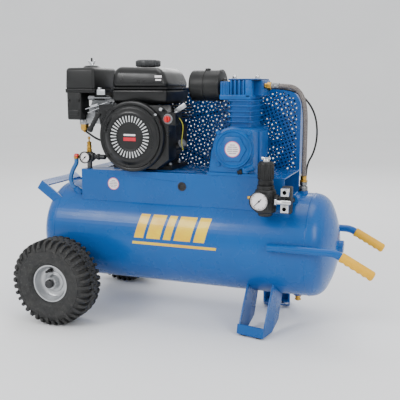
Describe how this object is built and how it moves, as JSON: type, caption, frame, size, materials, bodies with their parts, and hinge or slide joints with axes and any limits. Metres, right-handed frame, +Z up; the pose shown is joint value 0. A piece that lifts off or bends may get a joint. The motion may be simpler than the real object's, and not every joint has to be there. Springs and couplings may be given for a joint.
{
  "type": "wheelbarrow air compressor",
  "caption": "Petrol-driven belt air compressor on a wheelbarrow frame: air tank, engine, pump, belt guard, hose, regulator and lifting handles.",
  "frame": {"origin": "on the ground under the middle of the bounding box", "axes": "+X towards the handles, -Y towards the engine's starter side, +Z up"},
  "size_m": [1.0766, 0.5832, 0.797],
  "materials": {
    "blue_enamel": "gloss blue baked enamel",
    "blue_head": "blue painted casting",
    "black_enamel": "satin black enamel",
    "black_cast": "black painted die casting",
    "black_plastic": "moulded black plastic",
    "grey_plastic": "moulded grey plastic",
    "red_plastic": "moulded red plastic",
    "yellow_grip": "soft yellow vinyl",
    "tyre_rubber": "black tread rubber",
    "pad_rubber": "moulded rubber",
    "rim_silver": "silver grey paint",
    "zinc_steel": "zinc plated",
    "steel": "machined steel",
    "brass": "machined brass",
    "chrome": "bright plated",
    "iron": "machined casting",
    "aluminium": "as cast",
    "braid": "braided stainless steel",
    "blue_line": "blue nylon tube",
    "belt_rubber": "fabric-faced rubber",
    "gauge_black": "black enamel with a white dial"
  },
  "bodies": {
    "root": {"air_cleaner_case": "black_plastic", "air_cleaner_cover": "black_plastic", "axle_mounts": "blue_enamel", "carburettor": "aluminium", "deck": "blue_enamel", "discharge_hose": "braid", "drive_belt": "belt_rubber", "engine_crankcase": "black_cast", "engine_cylinder": "aluminium", "fan_housing": "black_enamel", "fasteners": "zinc_steel", "float_bowl": "brass", "foot_pads": "pad_rubber", "fuel_tank": "black_enamel", "gauge_cases": "gauge_black", "grips": "yellow_grip", "guard_back": "blue_enamel", "guard_band": "blue_enamel", "guard_front": "blue_enamel", "handle_tubes": "blue_enamel", "hose_fittings": "brass", "intake_filter": "black_plastic", "legs": "blue_enamel", "lift_bar": "blue_enamel", "muffler": "black_enamel", "outlet_manifold": "black_cast", "pilot_fittings": "zinc_steel", "pilot_tube": "blue_line", "pump_cover": "blue_head", "pump_crankcase": "blue_head", "pump_cylinder": "blue_head", "pump_head": "blue_head", "recoil_cover": "black_enamel", "regulator_body": "black_cast", "tank_barrel": "blue_enamel", "tank_head_left": "blue_enamel", "tank_head_right": "blue_enamel", "unloader_tube": "black_plastic"},
    "near_wheel": {"tyre_near": "tyre_rubber", "rim_near": "rim_silver"},
    "far_wheel": {"tyre_far": "tyre_rubber", "rim_far": "rim_silver"},
    "pump_drive": {"pump_shaft": "steel", "pump_flywheel": "blue_head"},
    "engine_drive": {"engine_shaft": "steel", "engine_pulley": "iron", "engine_flywheel": "aluminium"},
    "throttle": {"throttle_lever": "grey_plastic"},
    "choke": {"choke_lever": "black_plastic"},
    "switch": {"switch_knob": "red_plastic"},
    "fuel_cap": {"fuel_cap": "black_plastic"},
    "wing_nut": {"wing_nut": "zinc_steel"},
    "starter_grip": {"starter_grip": "black_plastic"},
    "regulator_knob": {"regulator_knob": "black_plastic"},
    "regulator_needle": {"regulator_needle": "black_plastic"},
    "tank_needle": {"tank_needle": "black_plastic"},
    "valve_handle": {"valve_handle": "chrome"},
    "drain_cock": {"drain_cock": "brass"},
    "relief_stem": {"relief_stem": "brass"},
    "oil_cap": {"oil_cap": "grey_plastic"}
  },
  "joints": [
    {"name": "near_wheel_spin", "type": "hinge", "parent": "root", "child": "near_wheel", "pos_m": [-0.39177, -0.2411, 0.13075], "axis": [0, -1, 0], "continuous": true},
    {"name": "far_wheel_spin", "type": "hinge", "parent": "root", "child": "far_wheel", "pos_m": [-0.39177, 0.2411, 0.13075], "axis": [0, -1, 0], "continuous": true},
    {"name": "pump_spin", "type": "hinge", "parent": "root", "child": "pump_drive", "pos_m": [0.12202, 0, 0.534], "axis": [0, -1, 0], "continuous": true},
    {"name": "engine_spin", "type": "hinge", "parent": "root", "child": "engine_drive", "pos_m": [-0.18998, 0, 0.562], "axis": [0, -1, 0], "continuous": true},
    {"name": "throttle_swing", "type": "hinge", "parent": "root", "child": "throttle", "pos_m": [-0.27847, -0.09, 0.676], "axis": [0, 0, 1], "range_deg": [0, 45]},
    {"name": "choke_swing", "type": "hinge", "parent": "root", "child": "choke", "pos_m": [-0.33798, -0.076, 0.614], "axis": [0, -1, 0], "range_deg": [0, 60]},
    {"name": "switch_turn", "type": "hinge", "parent": "root", "child": "switch", "pos_m": [-0.07598, -0.118, 0.616], "axis": [0, -1, 0], "range_deg": [-45, 0]},
    {"name": "fuel_cap_turn", "type": "hinge", "parent": "root", "child": "fuel_cap", "pos_m": [-0.18998, 0.005, 0.78], "axis": [0, 0, 1], "range_deg": [0, 90]},
    {"name": "wing_nut_turn", "type": "hinge", "parent": "root", "child": "wing_nut", "pos_m": [-0.37398, -0.02, 0.78], "axis": [0, 0, 1], "range_deg": [0, 1080]},
    {"name": "starter_pull", "type": "slide", "parent": "root", "child": "starter_grip", "axis": [-0.848, 0, 0.5299], "range_m": [0, 0.6], "stiffness_N_per_m": 20},
    {"name": "regulator_turn", "type": "hinge", "parent": "root", "child": "regulator_knob", "pos_m": [0.23003, -0.15, 0.47], "axis": [0, 0, 1], "range_deg": [0, 1440]},
    {"name": "regulator_needle_turn", "type": "hinge", "parent": "root", "child": "regulator_needle", "pos_m": [0.22503, -0.202, 0.404], "axis": [0, 1, 0], "range_deg": [0, 270]},
    {"name": "tank_needle_turn", "type": "hinge", "parent": "root", "child": "tank_needle", "pos_m": [-0.35897, -0.108, 0.492], "axis": [0, 1, 0], "range_deg": [0, 270]},
    {"name": "valve_handle_turn", "type": "hinge", "parent": "root", "child": "valve_handle", "pos_m": [0.29102, -0.19, 0.404], "axis": [0, -1, 0], "range_deg": [0, 90]},
    {"name": "drain_cock_turn", "type": "hinge", "parent": "root", "child": "drain_cock", "pos_m": [0.29902, 0, 0.084], "axis": [0, 0, 1], "range_deg": [0, 720]},
    {"name": "relief_pull", "type": "slide", "parent": "root", "child": "relief_stem", "axis": [0, 0, 1], "range_m": [0, 0.004], "stiffness_N_per_m": 800},
    {"name": "oil_cap_turn", "type": "hinge", "parent": "root", "child": "oil_cap", "pos_m": [-0.12198, -0.035, 0.506], "axis": [0.8829, 0, 0.4695], "range_deg": [0, 720]}
  ],
  "couplings": [
    {"joint": "engine_spin", "follows": "pump_spin", "ratio": 3.3881}
  ]
}
